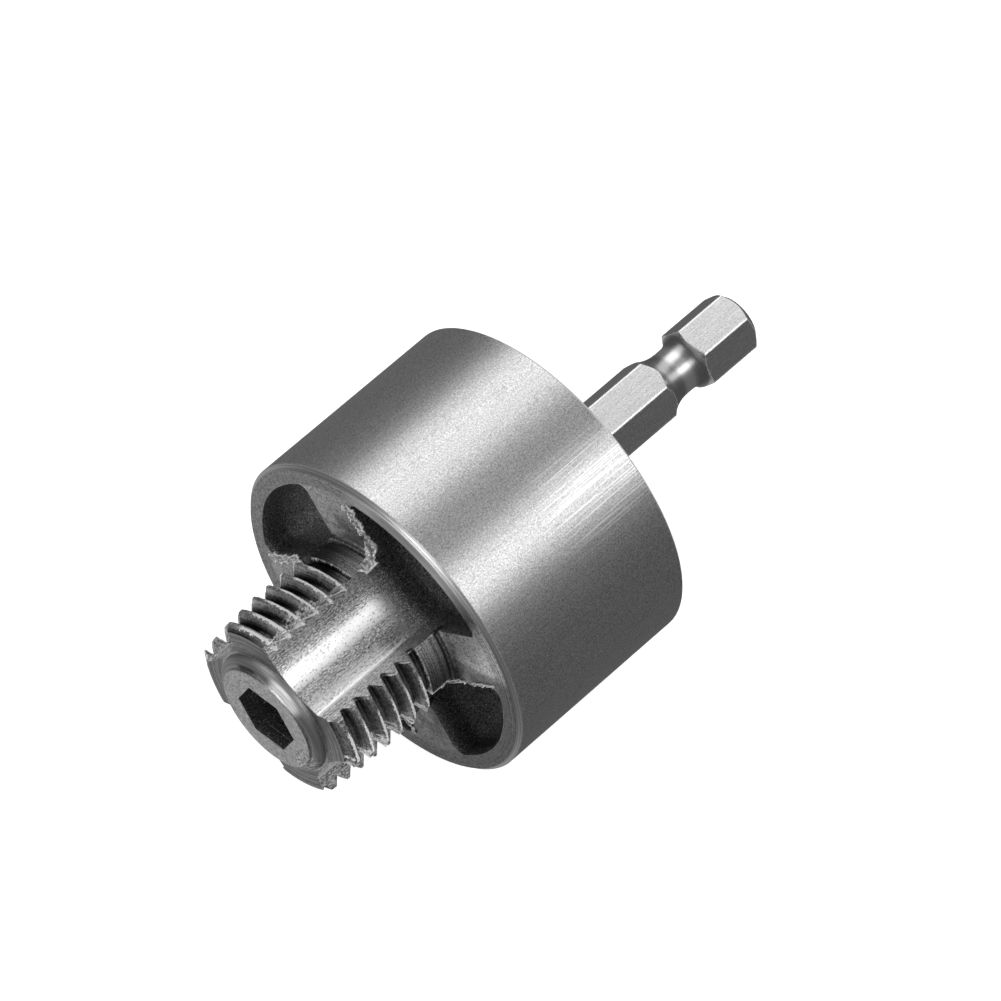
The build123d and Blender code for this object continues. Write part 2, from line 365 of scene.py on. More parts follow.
def body_zones(nodes, at):
    """Shares from 0 to 1 that tell the body's surfaces apart by where they lie."""
    on = SimpleNamespace()
    on.drum = nodes.step(at.radius, DRUM_RADIUS - 0.06 * MM, DRUM_RADIUS - 0.03 * MM)
    chamfer_end_x = CUTTING_FACE_X + RIM_CHAMFER
    on.rim = nodes.both(
        nodes.step(at.radius, POCKET_RADIUS + 0.02 * MM, POCKET_RADIUS + 0.06 * MM),
        nodes.step(at.along, chamfer_end_x + 0.12 * MM, chamfer_end_x + 0.05 * MM),
        nodes.without(on.drum),
    )
    on.chamfer = nodes.both(
        on.rim, nodes.step(at.along, CUTTING_FACE_X + 0.03 * MM, CUTTING_FACE_X + 0.08 * MM))
    on.web = nodes.both(
        nodes.step(at.along, CUTTING_FACE_X + 0.06 * MM, CUTTING_FACE_X + 0.03 * MM),
        nodes.step(at.along, CUTTING_FACE_X - 0.4 * MM, CUTTING_FACE_X - 0.2 * MM),
        nodes.step(at.radius, NECK_RADIUS, NECK_RADIUS + 0.3 * MM),
    )
    on.front = nodes.largest(on.rim, on.web)
    on.pocket = nodes.both(
        nodes.step(at.along, CUTTING_FACE_X - 3.2 * MM, CUTTING_FACE_X),
        nodes.step(at.radius, POCKET_RADIUS + 0.1 * MM, POCKET_RADIUS + 0.05 * MM),
        nodes.without(on.front),
        nodes.step(at.along, DRUM_BACK_X - 1 * MM, DRUM_BACK_X - 2 * MM),
    )
    on.socket = nodes.both(
        nodes.step(at.radius, SOCKET_REACH + 0.08 * MM, SOCKET_REACH),
        nodes.step(at.along, BOSS_FACE_X + 0.02 * MM, BOSS_FACE_X + 0.15 * MM),
        nodes.step(at.along, CUTTING_FACE_X, CUTTING_FACE_X - 1 * MM),
    )
    on.nose = nodes.step(at.along, NOSE_FACE_X + 0.06 * MM, NOSE_FACE_X + 0.03 * MM)
    on.fillet = nodes.both(
        on.nose,
        nodes.step(at.radius, FILLET_START_RADIUS - 0.1 * MM, FILLET_START_RADIUS + 0.1 * MM),
        nodes.step(at.radius, FILLET_END_RADIUS + 0.15 * MM, FILLET_END_RADIUS - 0.15 * MM),
    )
    from_chewed_y = nodes.math("SUBTRACT", at.y, CHEWED_Y)
    from_chewed_z = nodes.math("SUBTRACT", at.z, CHEWED_Z)
    off_chewed = nodes.vector_math("LENGTH", nodes.joined(from_chewed_y, from_chewed_z, 0.0))
    on.chewed = nodes.both(on.nose, nodes.step(off_chewed, 2.1 * MM, 1.2 * MM))
    on.back = nodes.both(
        nodes.step(at.along, DRUM_BACK_X - 0.22 * MM, DRUM_BACK_X - 0.18 * MM), nodes.without(on.drum))
    on.back_edge = nodes.both(
        nodes.step(at.along, DRUM_BACK_X - 0.26 * MM, DRUM_BACK_X - 0.18 * MM),
        nodes.step(at.radius, DRUM_RADIUS - 0.3 * MM, DRUM_RADIUS - 0.25 * MM),
    )
    # All the rest: the flutes, the neck, the pockets and the socket behind the nose
    on.inside = nodes.both(
        nodes.without(on.drum), nodes.without(on.front), nodes.without(on.nose), nodes.without(on.back))
    # The painted highlight along the foot of each flute's rake wall
    above_foot = nodes.math("SUBTRACT", at.height, RAKE_FOOT_HEIGHT)
    past_foot = nodes.math("SUBTRACT", at.across, RAKE_FOOT_ACROSS)
    off_foot = nodes.vector_math("LENGTH", nodes.joined(above_foot, past_foot, 0.0))
    on.foot = nodes.both(
        nodes.step(off_foot, 0.28 * MM, 0.2 * MM),
        nodes.step(at.along, NECK_FRONT_X + 0.5 * MM, NOSE_FACE_X + 7 * MM),
        on.inside,
        nodes.without(on.pocket),
    )
    # The neck's corner with the web, where shade is painted
    off_face = nodes.math("ABSOLUTE", nodes.math("SUBTRACT", at.along, CUTTING_FACE_X))
    on.corner = nodes.both(
        nodes.step(off_face, 0.8 * MM, 0.62 * MM),
        nodes.between(at.radius, NECK_RADIUS - 0.1 * MM, NECK_RADIUS + 0.2 * MM, 0.25 * MM),
    )
    # Rings crowd at the rim's outer edge. They are marked mostly at the top, where light catches them, which
    # is partly painted highlight
    at_top = nodes.step(nodes.more(at.z, at.y, -0.6), 7 * MM, 16 * MM)
    on.crowded = nodes.both(nodes.step(at.radius, DRUM_RADIUS - 1.7 * MM, DRUM_RADIUS - 0.7 * MM), at_top)
    return on


def drum_shade(nodes, at):
    """Blasted, with even grain and fine lines along the axis. A few scratches are painted bright only in the
    near side's band, where light catches them, and painted shade darkens the side towards -Y."""
    shade = nodes.more(at.fine, at.streaks, 0.22)
    # Scratches, partly painted highlight: bright only in the near side's band, where light catches them
    scratches = nodes.step(drawn_along_axis(nodes, at.place, 14 * MM, 0.16 * MM), 0.5, 0.66)
    scratched = nodes.both(
        scratches,
        nodes.between(at.angle, radians(116), radians(138), radians(6)),
        nodes.step(at.along, CUTTING_FACE_X + 9 * MM, CUTTING_FACE_X + 18 * MM),
    )
    shade = nodes.more(shade, scratched, 0.5)
    # Painted shade: darker towards -Y
    return nodes.changed(shade, nodes.step(at.y, -14 * MM, -17 * MM), -0.14)


def front_shade(nodes, at, on):
    """Mottled rim and webs, with turned rings and painted light and shade: a lighter top, a lighter web on
    the near side and a darker low side.
    """
    shade = nodes.more(nodes.more(0.14, at.sharp_fine, 0.28), at.sharp_medium, 0.14)
    # Partly painted highlight: the crowded rings show strongly only at the top
    shade = nodes.more(shade, nodes.both(at.ring_marks, on.crowded), 0.5)
    shade = nodes.math("MULTIPLY", shade, nodes.blend(on.rim, 1.1, 0.72))
    # Painted shade: the low side is darker
    low_side = nodes.step(nodes.more(at.y, at.z, 0.58), -7 * MM, -15 * MM)
    shade = nodes.changed(shade, low_side, -0.52)
    shade = nodes.more(shade, nodes.math("SUBTRACT", at.rings, 0.5), 0.14)
    # Painted light: the web on the near side, from 139 to 157 degrees, is lighter
    near_web = nodes.both(on.web, nodes.between(at.angle, radians(139), radians(157), radians(5)))
    shade = nodes.changed(shade, near_web, 1.5)
    # Painted highlight: the rim's top, from 88 to 118 degrees, is much lighter
    lit_rim = nodes.both(on.rim, nodes.between(at.angle, radians(88), radians(118), radians(18)))
    shade = nodes.blend(nodes.both(lit_rim, 0.85), shade, nodes.more(0.8, at.ring_marks, 0.5))
    # Painted shade on the webs, growing towards the neck, in uneven patches
    patchy_neck_shade = nodes.both(
        on.web, nodes.step(at.patchy, 0.42, 0.6), nodes.step(at.radius, 15.5 * MM, 12 * MM))
    return nodes.changed(shade, patchy_neck_shade, -0.5)


def tap_finish(nodes, at):
    """Shade and torn share of the tap: brushed along the axis, with bright dashes, small dark pits and one
    band of painted highlight in each flute, bright and without dashes or torn metal."""
    brushed = nodes.step(drawn_along_axis(nodes, at.place, 4 * MM, 0.09 * MM), 0.42, 0.6)
    # Painted highlight: a bright band with ragged edges along each flute
    ragged_across = nodes.more(at.across, nodes.math("SUBTRACT", at.dashes, 0.5), 0.7 * MM)
    painted_highlight_band = nodes.between(ragged_across, -2.0 * MM, -0.5 * MM, 0.5 * MM)
    # Painted light: the flute floor is lighter by the foot of the rake wall, towards the nose
    by_foot = nodes.both(
        nodes.step(at.across, 1.2 * MM, 2.0 * MM),
        nodes.step(at.across, RAKE_FOOT_ACROSS + 0.15 * MM, RAKE_FOOT_ACROSS),
        nodes.step(at.along, NECK_FRONT_X, NECK_FRONT_X - 3 * MM),
    )
    plain = nodes.more(nodes.more(0.3, by_foot, 0.35), brushed, 0.35)
    shade = nodes.blend(nodes.largest(at.dashes, painted_highlight_band), plain, 1.0)
    shade = nodes.changed(shade, at.pits, -0.7)
    # Painted shade: each flute darkens on its rake-foot side over the last 3 mm before the neck
    shaded_end = nodes.both(
        nodes.step(at.across, 0.6 * MM, 2.2 * MM),
        nodes.step(at.along, NECK_FRONT_X - 3 * MM, NECK_FRONT_X),
    )
    shade = nodes.changed(shade, shaded_end, -0.55)
    # Painted shade: the neck behind the threads is much darker
    neck_side = nodes.both(
        nodes.step(at.along, NECK_FRONT_X, NECK_FRONT_X + 0.3 * MM),
        nodes.step(at.radius, NECK_RADIUS - 0.15 * MM, NECK_RADIUS - 0.05 * MM),
    )
    shade = nodes.changed(shade, neck_side, -0.75)
    off_neck = nodes.largest(
        nodes.step(at.along, NECK_FRONT_X + 1.2 * MM, NECK_FRONT_X),
        nodes.step(at.radius, NECK_RADIUS - 0.15 * MM, NECK_RADIUS - 0.3 * MM),
    )
    torn = nodes.both(
        at.dashes, nodes.without(painted_highlight_band), off_neck, nodes.more(0.5, shaded_end, -0.35))
    return shade, torn


def nose_shade(nodes, at):
    """A mottled boss, and darker ends of the lands round it, with rings, and painted light on the ends
    beside the boss from 70 to 165 degrees, where the boss shades them.
    """
    on_ends = nodes.step(at.radius, 6.9 * MM, 7.2 * MM)
    shade = nodes.more(nodes.more(0.16, at.sharp_fine, 0.3), at.sharp_medium, 0.12)
    # Painted light: the ends are darkened less beside the boss, where it shades them
    by_boss = nodes.both(
        nodes.step(at.radius, 8 * MM, 7 * MM),
        nodes.between(at.angle, radians(70), radians(165), radians(20)),
    )
    shade = nodes.changed(shade, on_ends, nodes.more(-0.72, by_boss, 0.45))
    rings = nodes.more(nodes.more(-0.13, at.rings, 0.24), nodes.both(at.wide_rings, on_ends), 0.12)
    return nodes.largest(nodes.math("ADD", shade, rings), 0.02)


def fillet_finish(nodes, at):
    """Shade and torn share of the fillet round the boss, with rings and painted light and shade: a painted
    highlight on its upper side, pale on a narrow arc, a short dark arc of painted shade beside that, and a
    lighter outer part."""
    # Painted highlight on the upper side, and painted shade in a short arc beside it
    bright_side = nodes.both(
        nodes.between(at.angle, radians(100), radians(124), radians(12)),
        nodes.step(at.radius, 6.7 * MM, 6.35 * MM),
    )
    dark_arc = nodes.both(
        nodes.between(at.angle, radians(56), radians(70), radians(10)),
        nodes.step(at.radius, 6.35 * MM, 6.15 * MM),
    )
    shade = nodes.more(0.24, dark_arc, -0.2)
    shade = nodes.more(shade, nodes.step(at.radius, 6.2 * MM, 6.5 * MM), 0.24)
    shade = nodes.more(shade, bright_side, 0.65)
    shade = nodes.math("MULTIPLY", shade, nodes.more(0.78, at.wide_rings, 0.4))
    # The painted highlight is made pale on its narrowest arc
    bright_arc = nodes.both(
        bright_side, nodes.between(at.radius, 6.1 * MM, 6.35 * MM, 0.15 * MM))
    return shade, nodes.both(bright_arc, 0.6)


def pocket_shade(nodes, at):
    """Dark, with painted shade that is deepest near the mouth, where a few specks shine, and in the low
    pockets.
    """
    deep = nodes.step(at.along, CUTTING_FACE_X + 1 * MM, CUTTING_FACE_X + 8 * MM)
    shade = nodes.more(nodes.more(0.03, at.medium, 0.3), at.sharp_fine, 0.3)
    # Painted shade: darker near the mouth than deep inside
    shade = nodes.math("MULTIPLY", shade, nodes.more(0.75, deep, 1.6))
    shade = nodes.more(shade, nodes.both(at.specks, nodes.without(deep)), 0.25)
    # Painted shade: the low pockets, towards -Y, are darker
    return nodes.changed(shade, nodes.step(at.y, 0.0, -10 * MM), -0.25)


def body_relief(nodes, at, on):
    """Bump height in millimetres. The flutes are ground hollower than the solid has them, rise a
    little towards the drum, and the corner at their foot is ground round."""
    from_low = nodes.math("MULTIPLY_ADD", at.across, 1 / MM, HOLLOW_MIDDLE)
    relief = nodes.more(
        nodes.math("MULTIPLY", at.fine, 0.012), nodes.both(from_low, from_low, on.inside), HOLLOW_BEND)
    run = nodes.largest(nodes.math("MULTIPLY_ADD", at.along, 1 / MM, -RISE_START_X / MM), 0.0)
    before_pocket = nodes.step(at.along, CUTTING_FACE_X + 3 * MM, CUTTING_FACE_X)
    relief = nodes.more(relief, nodes.both(run, run, on.inside, before_pocket), RISE_BEND)
    into_corner = nodes.largest(nodes.math("MULTIPLY_ADD", at.across, 1 / MM, -CORNER_START), 0.0)
    into_corner = nodes.math("MINIMUM", into_corner, CORNER_LENGTH)
    relief = nodes.more(relief, nodes.both(into_corner, into_corner, on.inside), CORNER_BEND)
    for pattern, zone, height in (
        (at.rings, on.front, 0.012),
        (at.rings, nodes.both(on.rim, on.crowded), 0.05),
        (at.back_rings, on.back, 0.006),
        (at.streaks, on.inside, 0.008),
        (at.pits, on.inside, -0.02),
        (at.medium, on.pocket, 0.1),
        (at.crumbs, on.chewed, 0.09),
    ):
        relief = nodes.more(relief, nodes.both(pattern, zone), height)
    return relief


def body_finish(nodes, place, edge):
    """Blasted drum, turned front, dark pockets and a brushed tap, told apart by where they lie."""
    at = body_patterns(nodes, place)
    on = body_zones(nodes, at)
    shade, tap_torn = tap_finish(nodes, at)
    fillet_shade, fillet_highlight_share = fillet_finish(nodes, at)
    for zone, zone_shade in (
        (on.nose, nose_shade(nodes, at)),
        (on.front, front_shade(nodes, at, on)),
        (on.drum, drum_shade(nodes, at)),
        (on.back, nodes.more(nodes.more(0.3, at.fine, 0.5), at.back_rings, 0.14)),
        (on.pocket, pocket_shade(nodes, at)),
        (on.socket, nodes.more(0.3, at.specks, 0.8)),
        (on.chamfer, nodes.more(0.6, at.ring_marks, 0.4)),
        (on.fillet, fillet_shade),
        (nodes.both(on.chewed, 0.75), nodes.more(0.06, nodes.step(at.crumbs, 0.35, 0.65), 0.62)),
    ):
        shade = nodes.blend(zone, shade, zone_shade)

    # Painted highlights: outer edges and the flutes' foot lines are light, and so is the drum's back edge
    past_neck = nodes.both(on.front, nodes.step(at.radius, 10.7 * MM, 11.2 * MM))
    outer = nodes.largest(on.drum, on.nose, past_neck)
    light_edge = nodes.both(edge, outer, nodes.more(0.5, at.sharp_fine, 0.5))
    edge_line = nodes.both(light_edge, 0.5)
    shade = nodes.blend(nodes.largest(edge_line, on.foot), shade, PALE)
    # Painted shade in the neck's corner with the web
    shade = nodes.changed(shade, on.corner, -0.7)
    shade = nodes.blend(nodes.both(on.back_edge, 0.8), shade, PALE)
    # The pale share: torn dashes in the flutes, and the painted highlights on edges, foot lines, the fillet
    # and the drum's back edge
    torn = nodes.largest(
        edge_line,
        nodes.both(tap_torn, on.inside, nodes.without(on.pocket), nodes.without(on.socket),
                   nodes.without(on.foot)),
        nodes.both(on.foot, 0.3),
        nodes.both(on.fillet, fillet_highlight_share),
        nodes.both(on.back_edge, 0.5),
    )

    roughness = nodes.blend(on.front, 0.36, nodes.blend(on.chamfer, 0.5, 0.36))
    for zone, zone_roughness in (
        (on.fillet, 0.46), (on.drum, 0.35), (on.pocket, 0.65), (light_edge, 0.6),
    ):
        roughness = nodes.blend(zone, roughness, zone_roughness)
    return shade, roughness, body_relief(nodes, at, on), torn


def marked_share(nodes, name):
    """A share that the mesh stores at its points."""
    return nodes.add("ShaderNodeAttribute", {"attribute_name": name}).outputs["Fac"]


def land_finish(nodes, place, edge):
    """Cut steel of the threads: mottled flanks, painted shade at the roots, painted light and shade on the
    neck, and pale torn wear and painted highlights along crests and edges.
    """
    at = lie_of(nodes, place)
    fine = nodes.step(grain(nodes, place, FINE_GRAIN, detail=1.0), 0.3, 0.7)
    medium = nodes.step(grain(nodes, place, 0.5 * MM), 0.3, 0.7)
    rings = turned_rings(nodes, at, 0.2 * MM)
    ring_lines = nodes.step(rings, 0.38, 0.62)
    wear_and_highlight = marked_share(nodes, "worn_edge")
    share = marked_share(nodes, "share_across")
    near_side = nodes.step(at.angle, radians(105), radians(130))

    flank = nodes.more(nodes.more(0.06, fine, 0.32), medium, 0.22)
    flank = nodes.more(flank, ring_lines, 0.2)
    # Painted shade in the roots: dark, least so towards the heel and on the near side's lands
    past_middle = nodes.both(nodes.step(share, 0.5, 1.0), 0.8)
    less_dark = nodes.blend(near_side, past_middle, nodes.step(share, 0.05, 0.6))
    root_shade = nodes.more(nodes.more(0.03, near_side, 0.12), less_dark, 0.5)
    up_flank = nodes.step(at.radius, THREAD_ROOT_RADIUS + 0.1 * MM, THREAD_RADIUS - 0.25 * MM)
    flank = nodes.math("MULTIPLY", flank, nodes.blend(up_flank, root_shade, 1.0))

    neck = nodes.more(nodes.more(0.08, fine, 0.16), ring_lines, 0.12)
    # Painted light and shade on the neck: on the near side's lands it is much lighter, most of all by the
    # rake; on the others it is darkest by the rake and lighter towards the heel
    past_rake = nodes.step(share, 0.2, 0.9)
    neck_light = nodes.blend(near_side, nodes.more(0.5, past_rake, 0.9), nodes.more(2.8, past_rake, -1.2))
    neck = nodes.math("MULTIPLY", neck, neck_light)
    # Painted shade on the neck next to the web
    by_web = nodes.step(at.along, CUTTING_FACE_X - 0.9 * MM, CUTTING_FACE_X - 0.3 * MM)
    neck = nodes.changed(neck, by_web, -0.5)

    on_neck = nodes.step(at.along, NECK_FRONT_X - 0.1 * MM, NECK_FRONT_X + 0.1 * MM)
    shade = nodes.blend(on_neck, flank, neck)
    # Pale on the torn wear and on the painted highlights
    torn = nodes.step(nodes.both(wear_and_highlight, nodes.more(0.75, fine, 0.5)), 0.25, 0.8)
    shade = nodes.blend(torn, shade, PALE)
    relief = nodes.more(nodes.math("MULTIPLY", medium, 0.02), fine, 0.016)
    relief = nodes.more(relief, nodes.both(wear_and_highlight, fine), 0.07)
    relief = nodes.more(relief, nodes.both(rings, on_neck), 0.02)
    return shade, nodes.blend(wear_and_highlight, 0.42, 0.55), relief, torn


def torn_finish(nodes, place, edge):
    """Burrs: grey torn metal, with painted highlights along their rims and creases."""
    fine = grain(nodes, place, FINE_GRAIN)
    medium = grain(nodes, place, 0.4 * MM)
    wear_and_highlight = marked_share(nodes, "worn_edge")
    shade = nodes.more(nodes.more(-0.05, fine, 0.4), medium, 0.5)
    shade = nodes.blend(wear_and_highlight, shade, 0.92)
    torn = nodes.more(0.08, wear_and_highlight, 0.7)
    return shade, nodes.blend(wear_and_highlight, 0.42, 0.5), nodes.math("MULTIPLY", medium, 0.03), torn


def shank_finish(nodes, place, edge):
    """Ground flats with painted highlights on the corners and edges, and a duller waist with fine turned
    lines and a painted highlight round its floor.
    """
    at = lie_of(nodes, place)
    fine = grain(nodes, place, FINE_GRAIN, detail=1.0)
    streaks = drawn_along_axis(nodes, place, 3 * MM, 0.1 * MM)
    rings = turned_rings(nodes, at, 0.14 * MM)
    in_waist = nodes.both(
        nodes.step(at.radius, SHANK_FLAT_HEIGHT - 0.01 * MM, SHANK_FLAT_HEIGHT - 0.05 * MM),
        nodes.step(at.along, WAIST_MIDDLE_X + 4 * MM, WAIST_MIDDLE_X + 3 * MM),
    )
    ground = nodes.more(nodes.more(0.22, fine, 0.5), streaks, 0.3)
    turned = nodes.more(nodes.more(0.24, fine, 0.14), rings, 0.12)
    # Painted highlight round the waist's floor
    waist_floor = nodes.between(at.along, WAIST_MIDDLE_X - 0.3 * MM, WAIST_MIDDLE_X + 0.3 * MM, 0.9 * MM)
    turned = nodes.more(turned, waist_floor, 0.4)
    shade = nodes.blend(in_waist, ground, turned)
    # Painted highlights on the corners and on the other sharp edges outside the waist
    on_corner = nodes.step(at.radius, SHANK_CORNER_RADIUS - 0.05 * MM, SHANK_CORNER_RADIUS - 0.02 * MM)
    bright_edge = nodes.both(nodes.largest(edge, on_corner), nodes.without(in_waist))
    shade = nodes.blend(bright_edge, shade, 1.0)
    torn = nodes.both(bright_edge, nodes.without(on_corner), 0.7)
    roughness = nodes.more(nodes.blend(in_waist, 0.18, 0.27), fine, 0.08)
    relief = nodes.more(nodes.math("MULTIPLY", fine, 0.0025), nodes.both(rings, in_waist), 0.004)
    return shade, roughness, relief, torn


def geometry_tree(name, inputs):
    """A geometry tree with named inputs, each (name, kind). Returns its nodes, the inputs'
    outputs by name, and the geometry that comes in."""
    tree = bpy.data.node_groups.new(name, "GeometryNodeTree")
    tree.interface.new_socket("Geometry", in_out="INPUT", socket_type="NodeSocketGeometry")
    for label, kind in inputs:
        tree.interface.new_socket(label, in_out="INPUT", socket_type="NodeSocket" + kind)
    tree.interface.new_socket("Geometry", in_out="OUTPUT", socket_type="NodeSocketGeometry")
    nodes = Nodes(tree)
    entry = nodes.add("NodeGroupInput")
    return tree, nodes, {label: entry.outputs[label] for label, kind in inputs}, entry.outputs[0]


def stored(nodes, geometry, name, value):
    """The geometry with value kept at its points under that name."""
    kept = nodes.add("GeometryNodeStoreNamedAttribute", {"data_type": "FLOAT", "domain": "POINT"},
                     Geometry=geometry, Name=name, Value=value)
    return kept.outputs[0]


def end_tree(nodes, geometry, place, material):
    """Moves the geometry's points to place and gives it its material."""
    moved = nodes.add("GeometryNodeSetPosition", Geometry=geometry, Position=place)
    realized = nodes.add("GeometryNodeRealizeInstances", Geometry=moved.outputs[0])
    covered = nodes.add("GeometryNodeSetMaterial", Geometry=realized.outputs[0], Material=material)
    output = nodes.add("NodeGroupOutput")
    nodes.put(output.inputs[0], covered.outputs[0])


def tidy_mesh(mesh):
    """Merges doubles, turns faces outwards and smooths all but the sharp edges."""
    work = bmesh.new()
    work.from_mesh(mesh)
    bmesh.ops.remove_doubles(work, verts=work.verts, dist=MM * 0.0005)
    bmesh.ops.recalc_face_normals(work, faces=work.faces)
    for face in work.faces:
        face.smooth = True
    for edge in work.edges:
        edge.smooth = edge.calc_face_angle(0.0) < SMOOTH_ANGLE
    work.to_mesh(mesh)
    work.free()


def grown(name, tree, values, source=None):
    """A plain mesh piece from a geometry tree, with its modifier gone, riding on the tool."""
    if source is None:
        source = bpy.data.meshes.new(name + " start")
    carrier = bpy.data.objects.new(name + " start", source)
    bpy.context.scene.collection.objects.link(carrier)
    modifier = carrier.modifiers.new(name, "NODES")
    modifier.node_group = tree
    sockets = {item.name: item.identifier for item in tree.interface.items_tree if item.in_out == "INPUT"}
    for label, value in values.items():
        modifier[sockets[label]] = value
    ready = carrier.evaluated_get(bpy.context.evaluated_depsgraph_get())
    mesh = bpy.data.meshes.new_from_object(ready)
    bpy.data.objects.remove(carrier)
    tidy_mesh(mesh)
    mesh.name = name
    piece = bpy.data.objects.new(name, mesh)
    bpy.context.scene.collection.objects.link(piece)
    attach(piece, "root")


def thread_form(nodes, along, angle):
    """The threaded part's surface without the flutes: its radius at a place along the axis and an
    angle about it, and how that place lies to the nearest crest."""
    form = SimpleNamespace()
    form.from_nose = nodes.math("SUBTRACT", along, NOSE_FACE_X)
    rows = nodes.math("DIVIDE", form.from_nose, THREAD_PITCH)
    turn = nodes.math("DIVIDE", nodes.math("SUBTRACT", angle, THREAD_CREST_ANGLE), radians(360))
    turns = nodes.math("SUBTRACT", rows, turn)
    from_crest = nodes.math("SUBTRACT", turns, nodes.math("ROUND", turns))
    form.behind_crest = nodes.math("MULTIPLY", from_crest, THREAD_PITCH)
    form.off_crest = nodes.math("MULTIPLY", nodes.math("ABSOLUTE", from_crest), THREAD_PITCH)
    fall = nodes.math("DIVIDE", nodes.math("SUBTRACT", form.off_crest, CREST_FLAT / 2), tan(FLANK_ANGLE / 2))
    fall = nodes.math("MINIMUM", nodes.largest(fall, 0.0), THREAD_RADIUS - THREAD_ROOT_RADIUS)
    threaded = nodes.math("SUBTRACT", THREAD_RADIUS, fall)
    bevel_slope = NOSE_BEVEL_HEIGHT / NOSE_BEVEL_LENGTH
    bevel = nodes.math("MULTIPLY_ADD", form.from_nose, bevel_slope, NOSE_EDGE_RADIUS)
    past_bevel = nodes.math("SUBTRACT", form.from_nose, NOSE_BEVEL_LENGTH)
    lead = nodes.math("MULTIPLY_ADD", past_bevel, LEAD_DEPTH / LEAD_LENGTH, THREAD_RADIUS - LEAD_DEPTH)
    threaded = nodes.math("MINIMUM", threaded, nodes.math("MINIMUM", bevel, lead))
    form.behind_thread = nodes.math("GREATER_THAN", along, THREAD_BACK_X + 0.02 * MM)
    form.on_neck = nodes.math("GREATER_THAN", along, NECK_FRONT_X - 0.04 * MM)
    surface = nodes.blend(form.behind_thread, threaded, RELIEF_RADIUS)
    form.surface = nodes.blend(form.on_neck, surface, NECK_RADIUS)
    return form


def wear_and_highlight_share(nodes, form, along, land, across, at_top, tears, small, torn_spots):
    """Where the lands are pale: torn patches of wear, and painted highlights in ragged lines behind the
    crests, along both edges of each land and along the neck's front."""
    line_start = nodes.math("MULTIPLY_ADD", tears, -0.16 * MM, -0.06 * MM)
    on_line = nodes.both(
        nodes.math("GREATER_THAN", form.behind_crest, line_start),
        nodes.step(form.behind_crest, 0.22 * MM, 0.16 * MM),
        nodes.more(0.2, nodes.step(across, 0.15, 0.5), 0.8),
    )
    torn_patch = nodes.both(
        nodes.step(across, 0.68, 0.88),
        nodes.step(small, 0.44, 0.54),
        at_top,
        nodes.step(torn_spots, 0.4, 0.55),
        nodes.step(form.from_nose, 10 * MM, 5 * MM),
    )
    on_thread = nodes.without(form.behind_thread)
    wear_and_highlight = nodes.both(nodes.largest(on_line, torn_patch), on_thread)
    at_heel = nodes.both(nodes.step(across, 0.965, 0.985), at_top)
    at_rake = nodes.both(nodes.step(across, 0.1, 0.03), at_top, nodes.more(0.2, tears, 0.8))
    # The neck has painted highlights along its edges on all the lands but the first
    edged = nodes.largest(on_thread, nodes.math("GREATER_THAN", land, 0.5))
    wear_and_highlight = nodes.largest(wear_and_highlight, nodes.both(nodes.largest(at_heel, at_rake), edged))
    past_neck_edge = nodes.math("SUBTRACT", along, NECK_FRONT_X)
    neck_line = nodes.both(
        form.on_neck, nodes.step(past_neck_edge, 0.16 * MM, 0.08 * MM), at_top, nodes.more(0.4, tears, 0.6))
    return nodes.largest(wear_and_highlight, neck_line)


